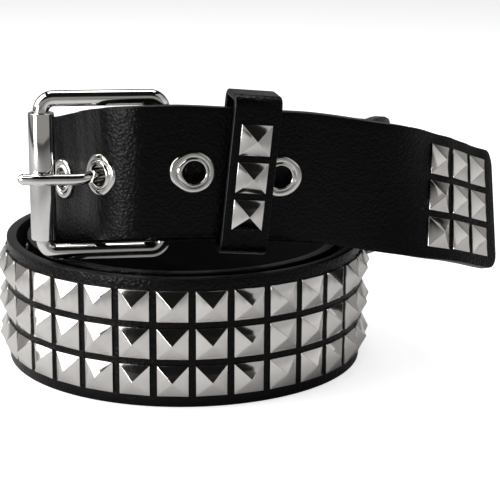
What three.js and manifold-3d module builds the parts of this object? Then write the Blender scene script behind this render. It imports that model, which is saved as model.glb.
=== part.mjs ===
import * as THREE from "three";
import { mergeVertices } from "three/addons/utils/BufferGeometryUtils.js";
import Module from "manifold-3d";

// A studded leather belt, buckled and rolled up so that it stands on the lower edge of its strap.
// Lengths are in millimetres and +Z is up. The coil's axis is upright, its front faces -Y,
// and the strap runs counter-clockwise seen from above, with its studs on the outside.

const wasm = await Module();
wasm.setup();

// Gap between pieces that touch, and the play of a sliding fit
const fitGap = 0.3;
const slideGap = 0.5;

// Strap
const strapWidth = 38;
const strapThickness = 3;
const coilRadius = 57;
const tipCorner = 5;
const plainStep = 5;
const eyeletStep = 2.1;

// Pyramid studs
const studSide = 9.05;
const studPitch = 11.05;
const studRows = 3;
const studSkirt = 0.6;
const studRise = 2.4;
const bareAtBuckle = 72;
const bareAtEyelets = 6;
const tipMargin = 6.5;
const tipColumns = 3;

// Eyelets
const eyeletCount = 5;
const eyeletPitch = 25.4;
const eyeletHole = 6.6;
const eyeletRim = 12.4;
const eyeletBackRim = 11.2;
const eyeletFront = 1.0;
const eyeletBack = 0.5;
const eyeletBarrel = 0.5;
const eyeletSides = 12;

// Buckle: a wire frame, a roller on its far bar and a prong on its heel bar
const wireDiameter = 4.7;
const wireSides = 10;
const heelToRoller = 34.8;
const frameCorner = 3.7;
const frameGap = 1.25;
const buckleTurn = -5.5;
const rimGap = 0.55;
const rollerDiameter = 7.5;
const rollerPlay = 0.5;
const prongDiameter = 3;
const prongReach = 7;
const prongTilt = 28;
const slotGap = 0.7;

// Fold of the strap round the heel bar, and its two rivets
const foldLength = 13;
const foldTaper = 7.2;
const rivetAlong = 9.8;
const rivetHead = 5;
const rivetShank = 3;
const rivetHeadHeight = 0.5;

// Keeper loop
const keeperWidth = 14;
const keeperThickness = 2;
const keeperEndGap = 2.5;
const keeperCorner = 3;
const keeperLean = -0.6;
const keeperTurn = 1014;

// Route of the strap's lower outer edge. A row's radius is its reach as a share of the coil's
// radius, plus the studded layers and plain plies that it lies outside of. Its height is its
// lift as a share of the strap's width, plus its share over of the rise into the buckle. Its lean
// tips the strap's upper edge inwards, in degrees.
const studHeight = studSkirt + studRise;
const layerPitch = strapThickness + studHeight + slideGap;
const plyPitch = strapThickness + fitGap + eyeletBack + slideGap;
const buckleRise = rimGap + wireDiameter + frameGap;
const prongTurn = 960.6;
const frontTurn = 266.6;
const turnStep = 1.5;
const route = [
  { turn: -97.5, reach: 0.686, layers: 0, plies: 0, lift: 1, over: 1, lean: 0 },
  { turn: -91, reach: 0.661, layers: 0, plies: 0, lift: 1, over: 1, lean: 0 },
  { turn: -80, reach: 0.645, layers: 0, plies: 0, lift: 1, over: 0.97, lean: 0 },
  { turn: -68, reach: 0.656, layers: 0, plies: 0, lift: 1, over: 0.9, lean: -2 },
  { turn: -53, reach: 0.717, layers: 0, plies: 0, lift: 1, over: 0.78, lean: -3 },
  { turn: -43, reach: 0.814, layers: 0, plies: 0, lift: 1, over: 0.66, lean: -2 },
  { turn: -34, reach: 0.903, layers: 0, plies: 0, lift: 1, over: 0.48, lean: 0 },
  { turn: -26, reach: 0.977, layers: 0, plies: 0, lift: 1, over: 0.28, lean: 0 },
  { turn: -18.5, reach: 0.914, layers: 1, plies: 0, lift: 1, over: 0.1, lean: 0 },
  { turn: -11, reach: 0.95, layers: 1, plies: 0, lift: 1, over: 0.05, lean: 0 },
  { turn: -3, reach: 0.977, layers: 1, plies: 0, lift: 0.921, over: 0, lean: 0 },
  { turn: 8, reach: 0.998, layers: 1, plies: 0, lift: 0.776, over: 0, lean: 0 },
  { turn: 20, reach: 1.007, layers: 1, plies: 0, lift: 0.645, over: 0, lean: 0 },
  { turn: 45, reach: 1, layers: 1, plies: 0, lift: 0.342, over: 0, lean: 0 },
  { turn: 90, reach: 0.985, layers: 1, plies: 0, lift: 0.084, over: 0, lean: 0 },
  { turn: 130, reach: 0.94, layers: 1, plies: 0, lift: 0, over: 0, lean: 0 },
  { turn: 180, reach: 0.98, layers: 0, plies: 0, lift: 0, over: 0, lean: 0 },
  { turn: 270, reach: 1.005, layers: 0, plies: 0, lift: 0, over: 0, lean: 0 },
  { turn: 360, reach: 0.98, layers: 0, plies: 0, lift: 0, over: 0, lean: 0 },
  { turn: 440, reach: 0.985, layers: 0, plies: 0, lift: 0, over: 0, lean: 0 },
  { turn: 490, reach: 0.94, layers: 0, plies: 0, lift: 0, over: 0, lean: 0 },
  { turn: 540, reach: 0.98, layers: -1, plies: 0, lift: 0, over: 0, lean: 0 },
  { turn: 630, reach: 1.005, layers: -1, plies: 0, lift: 0, over: 0, lean: 0 },
  { turn: 720, reach: 0.98, layers: -1, plies: 0, lift: 0, over: 0, lean: 0 },
  { turn: 765, reach: 0.985, layers: -1, plies: 0, lift: 0.1, over: 0, lean: 0 },
  { turn: 810, reach: 0.966, layers: -1, plies: 0, lift: 0.37, over: 0, lean: 0 },
  { turn: 855, reach: 0.915, layers: -1, plies: 0, lift: 0.71, over: 0, lean: 0 },
  { turn: 885, reach: 0.861, layers: -1, plies: 0, lift: 0.88, over: 0, lean: 0 },
  { turn: 900, reach: 0.728, layers: 0, plies: 0, lift: 0.947, over: 0, lean: 0 },
  { turn: 915, reach: 0.709, layers: 0, plies: 0, lift: 1, over: 0, lean: 0 },
  { turn: 930, reach: 0.679, layers: 0, plies: 0, lift: 1, over: 0.31, lean: 0 },
  { turn: 942, reach: 0.703, layers: 0, plies: 0, lift: 1, over: 0.63, lean: 0 },
  { turn: 950.5, reach: 0.738, layers: 0, plies: 0.2, lift: 1, over: 0.88, lean: 1 },
  { turn: 958, reach: 0.768, layers: 0, plies: 0.4, lift: 1, over: 1.08, lean: 3 },
  { turn: 963, reach: 0.768, layers: 0, plies: 0.6, lift: 1, over: 1.18, lean: 3 },
  { turn: 968, reach: 0.757, layers: 0, plies: 0.8, lift: 1, over: 1.28, lean: 2 },
  { turn: 974, reach: 0.736, layers: 0, plies: 0.9, lift: 1, over: 1.34, lean: 1 },
  { turn: 979, reach: 0.702, layers: 0, plies: 1, lift: 1, over: 1.37, lean: 0 },
  { turn: 985, reach: 0.677, layers: 0, plies: 1, lift: 1, over: 1.37, lean: 0 },
  { turn: 990, reach: 0.6605, layers: 0, plies: 1, lift: 1, over: 1.34, lean: 0 },
  { turn: 1000, reach: 0.643, layers: 0, plies: 1.09, lift: 1, over: 1.26, lean: 0 },
  { turn: 1010, reach: 0.651, layers: 0, plies: 1, lift: 1, over: 1.17, lean: -2 },
  { turn: 1024, reach: 0.703, layers: 0, plies: 1.1, lift: 1, over: 1.03, lean: -3 },
  { turn: 1033.5, reach: 0.781, layers: 0, plies: 1.2, lift: 1, over: 0.91, lean: -3 },
  { turn: 1041, reach: 0.891, layers: 0, plies: 1.3, lift: 1, over: 0.68, lean: -2 },
  { turn: 1047, reach: 1.025, layers: 0, plies: 1.3, lift: 1, over: 0.4, lean: 1 },
  { turn: 1052.5, reach: 1.16, layers: 0, plies: 1.3, lift: 1, over: 0.11, lean: 8 },
  { turn: 1058, reach: 1.279, layers: 0, plies: 1.3, lift: 0.966, over: 0, lean: 14 },
  { turn: 1063.5, reach: 1.385, layers: 0, plies: 1.3, lift: 0.908, over: 0, lean: 15 },
  { turn: 1068.5, reach: 1.47, layers: 0, plies: 1.3, lift: 0.84, over: 0, lean: 15 },
  { turn: 1073.5, reach: 1.563, layers: 0, plies: 1.3, lift: 0.76, over: 0, lean: 15 },
  { turn: 1077, reach: 1.646, layers: 0, plies: 1.3, lift: 0.7, over: 0, lean: 15 },
].map((row) => ({
  turn: row.turn,
  radius: row.reach * coilRadius + row.layers * layerPitch + row.plies * plyPitch,
  height: row.lift * strapWidth + row.over * buckleRise,
  lean: row.lean,
}));

// Slope of a column of the route at a row. Heights are held from overshooting their rows, so that
// the strap stays on the ground where it lies on it.
function slopeAt(key, i) {
  const rise = (k) => (route[k + 1][key] - route[k][key]) / (route[k + 1].turn - route[k].turn);
  if (i === 0) return rise(0);
  if (i === route.length - 1) return rise(i - 1);
  const before = rise(i - 1);
  const after = rise(i);
  const stepBefore = route[i].turn - route[i - 1].turn;
  const stepAfter = route[i + 1].turn - route[i].turn;
  const mean = (before * stepAfter + after * stepBefore) / (stepBefore + stepAfter);
  if (key !== "height") return mean;
  const least = Math.min(Math.abs(before), Math.abs(after), Math.abs(mean) / 2);
  return (Math.sign(before) + Math.sign(after)) * least;
}

// Value of a column of the route at a turn, on a smooth curve through its rows
function routeValue(key, turn) {
  let i = route.findIndex((row) => row.turn > turn) - 1;
  if (i < 0) i = route.length - 2;
  const a = route[i];
  const b = route[i + 1];
  const step = b.turn - a.turn;
  const t = (turn - a.turn) / step;
  const along = slopeAt(key, i) * step * t * (1 - t) ** 2 - slopeAt(key, i + 1) * step * t * t * (1 - t);
  return a[key] + (b[key] - a[key]) * t * t * (3 - 2 * t) + along;
}

const firstTurn = route[0].turn;
const turnSteps = Math.round((route.at(-1).turn - firstTurn) / turnStep);
const pathPoints = Array.from({ length: turnSteps + 1 }, (_, i) => {
  const turn = firstTurn + i * turnStep;
  const radius = routeValue("radius", turn);
  const angle = THREE.MathUtils.degToRad(turn);
  return new THREE.Vector3(radius * Math.cos(angle), radius * Math.sin(angle), routeValue("height", turn));
});
const path = new THREE.CatmullRomCurve3(pathPoints, false, "centripetal");
path.arcLengthDivisions = turnSteps * 8;
const strapLength = path.getLength();

// Distance along the strap at a turn of the route
function alongAt(turn) {
  const share = (turn - firstTurn) / (turnSteps * turnStep);
  return path.getLengths()[Math.round(share * path.arcLengthDivisions)];
}

// The strap's own directions at a distance along it: forward, out through the studs, and across
function frameAt(along) {
  const held = THREE.MathUtils.clamp(along, 0, strapLength);
  const forward = path.getTangentAt(held / strapLength);
  const point = path.getPointAt(held / strapLength).addScaledVector(forward, along - held);
  const turn = firstTurn + path.getUtoTmapping(held / strapLength) * turnSteps * turnStep;
  const lean = THREE.MathUtils.degToRad(routeValue("lean", turn));
  const out = new THREE.Vector3(forward.y, -forward.x, 0).normalize().applyAxisAngle(forward, -lean);
  return { point, forward, out, across: new THREE.Vector3().crossVectors(out, forward) };
}

// Point of the strap: distance along it, across it from the lower edge, and out from its flesh side
function onStrap(along, across, out) {
  const frame = frameAt(along);
  return frame.point
    .addScaledVector(frame.across, across)
    .addScaledVector(frame.out, out - strapThickness);
}

// Triangles of one closed body, gathered corner by corner
class Shell {
  constructor() {
    this.corners = [];
  }
  triangle(a, b, c) {
    this.corners.push(a, b, c);
  }
  quad(a, b, c, d) {
    this.triangle(a, b, c);
    this.triangle(a, c, d);
  }
  // A pyramid stud over the square of leather between four corners: a short wall, then four slopes
  stud(base, top, peak) {
    base.forEach((corner, i) => {
      const next = (i + 1) % 4;
      this.quad(corner, base[next], top[next], top[i]);
      this.triangle(top[i], top[next], peak);
    });
  }
  // Quads between neighbouring rings of points, with flat ends, or round again to the first ring
  loft(rings, { loop = false, skip = () => false } = {}) {
    const count = rings[0].length;
    const last = loop ? rings.length : rings.length - 1;
    for (let j = 0; j < last; j++) {
      const ring = rings[j];
      const next = rings[(j + 1) % rings.length];
      for (let i = 0; i < count; i++) {
        const k = (i + 1) % count;
        if (!skip(j, i)) this.quad(ring[i], next[i], next[k], ring[k]);
      }
    }
    if (loop) return this;
    const end = rings[rings.length - 1];
    for (let i = 0; i < count - 2; i++) {
      this.triangle(rings[0][count - 1], rings[0][i], rings[0][i + 1]);
      this.triangle(end[count - 1], end[i + 1], end[i]);
    }
    return this;
  }
  geometry() {
    const flat = this.corners.flatMap((corner) => corner.toArray());
    const made = new THREE.BufferGeometry();
    made.setAttribute("position", new THREE.Float32BufferAttribute(flat, 3));
    return facingOut(mergeVertices(made, 1e-3));
  }
}

// The same indexed geometry with its faces turned to point out of the body
function facingOut(geometry) {
  const { position } = geometry.attributes;
  const index = geometry.index.array;
  const [a, b, c] = [new THREE.Vector3(), new THREE.Vector3(), new THREE.Vector3()];
  let volume = 0;
  for (let i = 0; i < index.length; i += 3) {
    a.fromBufferAttribute(position, index[i]);
    b.fromBufferAttribute(position, index[i + 1]);
    c.fromBufferAttribute(position, index[i + 2]);
    volume += a.dot(b.cross(c));
  }
  if (volume < 0) index.reverse();
  return geometry;
}

// Solid for cutting and joining, and its geometry again
function toSolid(geometry) {
  const vertProperties = new Float32Array(geometry.attributes.position.array);
  const triVerts = new Uint32Array(geometry.index.array);
  return new wasm.Manifold(new wasm.Mesh({ numProp: 3, vertProperties, triVerts }));
}

function toGeometry(solid) {
  const mesh = solid.getMesh();
  const geometry = new THREE.BufferGeometry();
  geometry.setAttribute("position", new THREE.Float32BufferAttribute(mesh.vertProperties, 3));
  geometry.setIndex(new THREE.BufferAttribute(mesh.triVerts, 1));
  return geometry;
}

// Body of revolution standing on the strap: a closed profile of radius and distance out
function turnedOnStrap(along, across, profile, sides) {
  const rings = Array.from({ length: sides }, (_, i) => {
    const angle = (2 * Math.PI * i) / sides;
    return profile.map(([radius, out]) =>
      onStrap(along + radius * Math.cos(angle), across + radius * Math.sin(angle), out),
    );
  });
  return new Shell().loft(rings, { loop: true }).geometry();
}

// Straight-sided plug through the strap, round or with few sides, for cutting holes or as a shank
function plugInStrap(along, across, radius, from, to, sides) {
  const rings = [from, to].map((out) =>
    Array.from({ length: sides }, (_, i) => {
      const angle = (2 * Math.PI * i) / sides;
      return onStrap(along + radius * Math.cos(angle), across + radius * Math.sin(angle), out);
    }),
  );
  return new Shell().loft(rings).geometry();
}

// Tube of round section along points, with a radius at each, in a plane with the given normal
function tube(points, radiusAt, planeNormal, loop) {
  const rings = points.map((point, i) => {
    const before = points[loop ? (i + points.length - 1) % points.length : Math.max(i - 1, 0)];
    const after = points[loop ? (i + 1) % points.length : Math.min(i + 1, points.length - 1)];
    const forward = after.clone().sub(before).normalize();
    const side = new THREE.Vector3().crossVectors(forward, planeNormal).normalize();
    const up = new THREE.Vector3().crossVectors(side, forward);
    return Array.from({ length: wireSides }, (_, k) => {
      const angle = (2 * Math.PI * k) / wireSides;
      return point
        .clone()
        .addScaledVector(side, radiusAt(i) * Math.cos(angle))
        .addScaledVector(up, radiusAt(i) * Math.sin(angle));
    });
  });
  return new Shell().loft(rings, { loop }).geometry();
}

// Places along the strap of its eyelets, its stud columns and the three columns at its tip
const prongAlong = alongAt(prongTurn);
const middleEyelet = (eyeletCount - 1) / 2;
const eyeletAlongs = Array.from(
  { length: eyeletCount },
  (_, i) => prongAlong + (i - middleEyelet) * eyeletPitch,
);
const fieldEnd = eyeletAlongs[0] - eyeletRim / 2 - bareAtEyelets;
const frontAlong = alongAt(frontTurn);
const firstColumn = -Math.floor((frontAlong - studSide / 2 - bareAtBuckle) / studPitch);
const lastColumn = Math.floor((fieldEnd - studSide / 2 - frontAlong) / studPitch);
const columnAlongs = [];
for (let column = firstColumn; column <= lastColumn; column++) {
  columnAlongs.push(frontAlong + column * studPitch);
}
const tipAlongs = Array.from(
  { length: tipColumns },
  (_, i) => strapLength - tipMargin - studSide / 2 - i * studPitch,
);
const rowCentres = Array.from(
  { length: studRows },
  (_, i) => strapWidth / 2 + (i - (studRows - 1) / 2) * studPitch,
);
const rowLines = rowCentres.flatMap((centre) => [centre - studSide / 2, centre + studSide / 2]);
const acrossLines = [0, ...rowLines, strapWidth];

// Foot, shoulder and peak of a pyramid stud, from a function that places its points
function studPoints(place, centreAlong, centreAcross, foot) {
  const square = (half, out) =>
    [[-half, -half], [half, -half], [half, half], [-half, half]].map(([x, y]) =>
      place(centreAlong + x, centreAcross + y, out),
    );
  return {
    base: square(studSide / 2, foot),
    top: square(studSide / 2, foot + studSkirt),
    peak: place(centreAlong, centreAcross, foot + studHeight),
  };
}

// A stud on its own, closed underneath
function studGeometry(place, centreAlong, centreAcross, foot) {
  const { base, top, peak } = studPoints(place, centreAlong, centreAcross, foot);
  const shell = new Shell();
  shell.stud(base, top, peak);
  shell.quad(base[3], base[2], base[1], base[0]);
  return shell.geometry();
}

// Fold of the strap round the heel bar
const barRadius = wireDiameter / 2;
const foldInner = barRadius + fitGap;
const foldOuter = foldInner + strapThickness;
const heelFrame = frameAt(0);
const heelCentre = onStrap(0, 0, -foldInner);
const foldArcSteps = 6;

function aroundHeel(angle, radius, across) {
  return heelCentre
    .clone()
    .addScaledVector(heelFrame.out, radius * Math.cos(angle))
    .addScaledVector(heelFrame.forward, -radius * Math.sin(angle))
    .addScaledVector(heelFrame.across, across);
}

// How far the folded end lies behind the strap that it is turned back on
function foldOffset(along) {
  const close = strapThickness + fitGap;
  const open = 2 * foldInner + strapThickness;
  return open + (close - open) * THREE.MathUtils.smoothstep(along, barRadius / 2, foldTaper);
}

function evenly(from, to, step) {
  const count = Math.max(1, Math.ceil(Math.abs(to - from) / step));
  return Array.from({ length: count + 1 }, (_, i) => from + ((to - from) * i) / count);
}

// Ring of points round the strap: its stud side from the lower edge up, then its flesh side
function strapRing(grain, flesh) {
  return [...acrossLines.map(grain), flesh(strapWidth), flesh(0)];
}

function bandRing(along) {
  const fromEnd = Math.min(strapLength - along, tipCorner);
  const inset = tipCorner - Math.sqrt(tipCorner ** 2 - (tipCorner - fromEnd) ** 2);
  const across = (line) => inset + (line * (strapWidth - 2 * inset)) / strapWidth;
  return strapRing(
    (line) => onStrap(along, across(line), strapThickness),
    (line) => onStrap(along, across(line), 0),
  );
}

function strapGeometry() {
  const foldBack = evenly(foldLength, 0, eyeletStep).map((along) =>
    strapRing(
      (line) => onStrap(along, line, -foldOffset(along)),
      (line) => onStrap(along, line, strapThickness - foldOffset(along)),
    ),
  );
  const foldArc = [];
  for (let i = 1; i < foldArcSteps; i++) {
    const angle = Math.PI * (1 - i / foldArcSteps);
    foldArc.push(
      strapRing(
        (line) => aroundHeel(angle, foldOuter, line),
        (line) => aroundHeel(angle, foldInner, line),
      ),
    );
  }
  const edges = columnAlongs.flatMap((along) => [along - studSide / 2, along + studSide / 2]);
  const lastHole = eyeletAlongs.at(-1) + eyeletRim / 2;
  const tipEdges = tipAlongs
    .flatMap((along) => [along - studSide / 2, along + studSide / 2])
    .sort((a, b) => a - b);
  const tipArc = [0, 30, 60, 90].map(
    (angle) => strapLength - tipCorner * (1 - Math.sin(THREE.MathUtils.degToRad(angle))),
  );
  const alongs = [
    ...evenly(0, edges[0], plainStep).slice(0, -1),
    ...edges,
    ...evenly(edges.at(-1), lastHole, eyeletStep).slice(1, -1),
    ...evenly(lastHole, tipEdges[0], plainStep).slice(0, -1),
    ...tipEdges,
    ...tipArc,
  ];
  const rings = [...foldBack, ...foldArc, ...alongs.map(bandRing)];
  const firstEdge = rings.length - alongs.length + alongs.indexOf(edges[0]);
  const isStud = (j, i) =>
    j >= firstEdge && j < firstEdge + edges.length && (j - firstEdge) % 2 === 0 && i % 2 === 1 && i < 2 * studRows;
  const shell = new Shell().loft(rings, { skip: isStud });
  columnAlongs.forEach((along, column) => {
    rowCentres.forEach((centre, row) => {
      const { top, peak } = studPoints(onStrap, along, centre, strapThickness);
      const here = rings[firstEdge + 2 * column];
      const next = rings[firstEdge + 2 * column + 1];
      const line = 2 * row + 1;
      shell.stud([here[line], next[line], next[line + 1], here[line + 1]], top, peak);
    });
  });
  return shell.geometry();
}

// Pieces cut out of the strap: eyelet and rivet holes, and the slot for the prong
const middle = strapWidth / 2;
const eyeRadius = foldInner + prongDiameter / 2;
const eyeOutside = eyeRadius + prongDiameter / 2;
const rivetAcrosses = [strapWidth / 5, (4 * strapWidth) / 5];

function slotGeometry() {
  const half = prongDiameter / 2 + slotGap;
  const rings = [middle - half, middle + half].map((across) =>
    [
      [-eyeOutside - slotGap, -eyeOutside - foldInner - slotGap],
      [eyeOutside + slotGap, -eyeOutside - foldInner - slotGap],
      [eyeOutside + slotGap, strapThickness + slideGap],
      [-eyeOutside - slotGap, strapThickness + slideGap],
    ].map(([forward, out]) =>
      heelFrame.point
        .clone()
        .addScaledVector(heelFrame.forward, forward)
        .addScaledVector(heelFrame.out, out - strapThickness)
        .addScaledVector(heelFrame.across, across),
    ),
  );
  return new Shell().loft(rings).geometry();
}

function cutStrapGeometry() {
  const holeRadius = eyeletHole / 2 + eyeletBarrel + fitGap;
  const eyeletHoles = eyeletAlongs.map((along) =>
    plugInStrap(along, middle, holeRadius, -1, strapThickness + 1, eyeletSides),
  );
  const rivetHoles = rivetAcrosses.map((across) =>
    plugInStrap(rivetAlong, across, rivetShank / 2 + fitGap, -foldOffset(rivetAlong) - 1, strapThickness + 1, 8),
  );
  const cutters = [...eyeletHoles, ...rivetHoles, slotGeometry()];
  return toGeometry(cutters.reduce((solid, cutter) => solid.subtract(toSolid(cutter)), toSolid(strapGeometry())));
}

// Eyelet: a pressed ring with a domed rim in front, a barrel through the leather and a flat rim behind
function eyeletGeometry(along) {
  const hole = eyeletHole / 2;
  const front = strapThickness + fitGap;
  const back = -fitGap;
  const rim = eyeletRim / 2;
  const profile = [
    [hole, back - eyeletBack],
    [eyeletBackRim / 2, back - eyeletBack],
    [eyeletBackRim / 2, back],
    [hole + eyeletBarrel, back],
    [hole + eyeletBarrel, front],
    [rim, front],
    [rim - 0.1 * rim, front + 0.7 * eyeletFront],
    [(rim + hole) / 2, front + eyeletFront],
    [hole + 0.1 * rim, front + 0.7 * eyeletFront],
    [hole, front],
  ];
  return turnedOnStrap(along, middle, profile, eyeletSides);
}

// Rivet that holds the folded end to the strap: a shank with a flat head on each side
function rivetGeometry(across) {
  const front = strapThickness + fitGap;
  const back = -foldOffset(rivetAlong) - fitGap;
  const plug = (radius, from, to, sides) => toSolid(plugInStrap(rivetAlong, across, radius, from, to, sides));
  const shank = plug(rivetShank / 2, back - rivetHeadHeight / 2, front + rivetHeadHeight / 2, 8);
  const frontHead = plug(rivetHead / 2, front, front + rivetHeadHeight, wireSides);
  const backHead = plug(rivetHead / 2, back - rivetHeadHeight, back, wireSides);
  return toGeometry(shank.add(frontHead).add(backHead));
}

// Directions of the buckle: away from the heel bar, up along it, and out
const heelMiddle = onStrap(0, middle, -foldInner);
const buckleAway = heelFrame.forward
  .clone()
  .negate()
  .applyAxisAngle(heelFrame.across, THREE.MathUtils.degToRad(buckleTurn));
const buckleUp = heelFrame.across.clone();
const buckleOut = new THREE.Vector3().crossVectors(buckleUp, buckleAway);

function onBuckle(away, up, out) {
  return heelMiddle
    .clone()
    .addScaledVector(buckleAway, away)
    .addScaledVector(buckleUp, up)
    .addScaledVector(buckleOut, out);
}

const frameHalf = strapWidth / 2 + frameGap + barRadius;

function frameGeometry() {
  const cornerSteps = 4;
  const corners = [
    { away: heelToRoller - frameCorner, up: frameHalf - frameCorner, start: 0 },
    { away: frameCorner, up: frameHalf - frameCorner, start: 90 },
    { away: frameCorner, up: frameCorner - frameHalf, start: 180 },
    { away: heelToRoller - frameCorner, up: frameCorner - frameHalf, start: 270 },
  ];
  const points = corners.flatMap(({ away, up, start }) =>
    Array.from({ length: cornerSteps + 1 }, (_, i) => {
      const angle = THREE.MathUtils.degToRad(start + (90 * i) / cornerSteps);
      return onBuckle(away + frameCorner * Math.cos(angle), up + frameCorner * Math.sin(angle), 0);
    }),
  );
  return tube(points, () => barRadius, buckleOut, true);
}

// Roller: a sleeve turning on the far bar
const rollerLength = 2 * (frameHalf - frameCorner) - rollerPlay;

function rollerGeometry() {
  const inner = barRadius + fitGap;
  const outer = rollerDiameter / 2;
  const chamfer = (outer - inner) / 3;
  const half = rollerLength / 2;
  const profile = [
    [inner, -half],
    [outer - chamfer, -half],
    [outer, chamfer - half],
    [outer, half - chamfer],
    [outer - chamfer, half],
    [inner, half],
    [inner, -half],
  ].map(([radius, y]) => new THREE.Vector2(radius, y));
  const sleeve = new THREE.LatheGeometry(profile, 20);
  sleeve.deleteAttribute("normal");
  sleeve.deleteAttribute("uv");
  return facingOut(mergeVertices(sleeve, 1e-3));
}

// Prong: an eye round the heel bar, a shank through the middle eyelet, and a tip over the roller
function prongGeometry() {
  const hole = onStrap(prongAlong, middle, strapThickness / 2);
  const radius = prongDiameter / 2;
  const tilt = THREE.MathUtils.degToRad(prongTilt);
  const through = buckleAway
    .clone()
    .multiplyScalar(Math.cos(tilt))
    .addScaledVector(buckleOut, Math.sin(tilt));
  const leaving = Math.PI - tilt;
  const overRoller = rollerDiameter / 2 + fitGap + radius;
  const shank = new THREE.CatmullRomCurve3(
    [
      aroundHeel(leaving, eyeRadius, middle),
      hole.clone().addScaledVector(through, -strapThickness),
      hole.clone().addScaledVector(through, strapThickness),
      onBuckle(heelToRoller - rollerDiameter / 2, 0, overRoller),
      onBuckle(heelToRoller + rollerDiameter / 8, 0, overRoller),
      onBuckle(heelToRoller + prongReach, 0, overRoller - radius),
    ],
    false,
    "centripetal",
  ).getSpacedPoints(16);
  const eye = [];
  for (let angle = 225; angle > 0; angle -= 25) {
    eye.push(aroundHeel(leaving + THREE.MathUtils.degToRad(angle), eyeRadius, middle));
  }
  const points = [...eye, ...shank];
  const last = points.length - 1;
  const radiusAt = (i) => radius * (i > last - 2 ? 1 - 0.28 * (i - last + 2) : 1);
  return tube(points, radiusAt, buckleUp, false);
}

// Keeper: a leather loop round both layers of the strap, with three studs on its front
const keeperAlong = alongAt(keeperTurn);
const keeperFrame = frameAt(keeperAlong);
const frontClearance = fitGap + eyeletFront + slideGap;
const backDepth = plyPitch + strapThickness + 2 * slideGap;
const loopHeight = strapWidth + 2 * (keeperEndGap + keeperThickness);
const loopDepth = frontClearance + backDepth + 2 * keeperThickness;

function roundedBox(outline, width, height, corner) {
  const x = width / 2;
  const y = height / 2;
  outline.moveTo(corner - x, -y);
  outline.lineTo(x - corner, -y);
  outline.absarc(x - corner, corner - y, corner, -Math.PI / 2, 0);
  outline.lineTo(x, y - corner);
  outline.absarc(x - corner, y - corner, corner, 0, Math.PI / 2);
  outline.lineTo(corner - x, y);
  outline.absarc(corner - x, y - corner, corner, Math.PI / 2, Math.PI);
  outline.lineTo(-x, corner - y);
  outline.absarc(corner - x, corner - y, corner, Math.PI, 1.5 * Math.PI);
  return outline;
}

function keeperGeometry() {
  const outline = roundedBox(new THREE.Shape(), loopDepth, loopHeight, keeperCorner);
  const inside = roundedBox(
    new THREE.Path(),
    loopDepth - 2 * keeperThickness,
    loopHeight - 2 * keeperThickness,
    keeperCorner - keeperThickness / 2,
  );
  outline.holes.push(inside);
  const loop = new THREE.ExtrudeGeometry(outline, { depth: keeperWidth, bevelEnabled: false, curveSegments: 3 });
  loop.translate(0, 0, -keeperWidth / 2);
  loop.deleteAttribute("normal");
  loop.deleteAttribute("uv");
  return facingOut(mergeVertices(loop, 1e-3));
}

// The keeper's own group: X out of the strap, Y across it, Z back along it, leaning about X
function keeperGroup() {
  const group = new THREE.Group();
  const outOfTail = frontClearance + keeperThickness - loopDepth / 2;
  group.position.copy(onStrap(keeperAlong, middle, strapThickness + outOfTail));
  const back = keeperFrame.forward.clone().negate();
  const turn = new THREE.Matrix4().makeBasis(keeperFrame.out, keeperFrame.across, back);
  group.quaternion.setFromRotationMatrix(turn);
  group.rotateX(THREE.MathUtils.degToRad(keeperLean));
  return group;
}

// Materials: glossy black leather, mirror-bright studs and eyelets, polished buckle
const finish = (color, roughness, metalness) => new THREE.MeshStandardMaterial({ color, roughness, metalness });
const leather = finish(0x111113, 0.35, 0);
const keeperLeather = finish(0x161618, 0.4, 0);
const chrome = finish(0xc9cacc, 0.12, 1);
const buckleMetal = finish(0xb4b6ba, 0.18, 1);

function named(name, geometry, material) {
  const mesh = new THREE.Mesh(geometry, material);
  mesh.name = name;
  return mesh;
}

const belt = new THREE.Group();
belt.add(named("strap", cutStrapGeometry(), leather));

eyeletAlongs.forEach((along, i) => {
  belt.add(named(`eyelet_${i + 1}`, eyeletGeometry(along), chrome));
});

tipAlongs.forEach((along, column) => {
  rowCentres.forEach((centre, row) => {
    const name = `tip_stud_${column * studRows + row + 1}`;
    belt.add(named(name, studGeometry(onStrap, along, centre, strapThickness + fitGap), chrome));
  });
});

rivetAcrosses.forEach((across, i) => {
  belt.add(named(`fold_rivet_${i + 1}`, rivetGeometry(across), chrome));
});

belt.add(named("buckle_frame", frameGeometry(), buckleMetal));
belt.add(named("buckle_prong", prongGeometry(), buckleMetal));
const roller = named("buckle_roller", rollerGeometry(), buckleMetal);
roller.position.copy(onBuckle(heelToRoller, 0, 0));
roller.quaternion.setFromUnitVectors(new THREE.Vector3(0, 1, 0), buckleUp);
belt.add(roller);

const keeper = keeperGroup();
keeper.add(named("keeper_loop", keeperGeometry(), keeperLeather));
rowCentres.forEach((centre, row) => {
  const onKeeper = (along, across, out) => new THREE.Vector3(out, across, along);
  const geometry = studGeometry(onKeeper, 0, centre - middle, loopDepth / 2 + fitGap);
  keeper.add(named(`keeper_stud_${row + 1}`, geometry, chrome));
});
belt.add(keeper);

// The origin is the middle of the underside of the box round the whole belt
belt.updateMatrixWorld(true);
const bounds = new THREE.Box3().setFromObject(belt, true);
const centre = bounds.getCenter(new THREE.Vector3());
belt.position.set(-centre.x, -centre.y, -bounds.min.z);

export default belt;
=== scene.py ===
import bpy
import math
from bisect import bisect_right
from mathutils import Matrix, Vector


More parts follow.
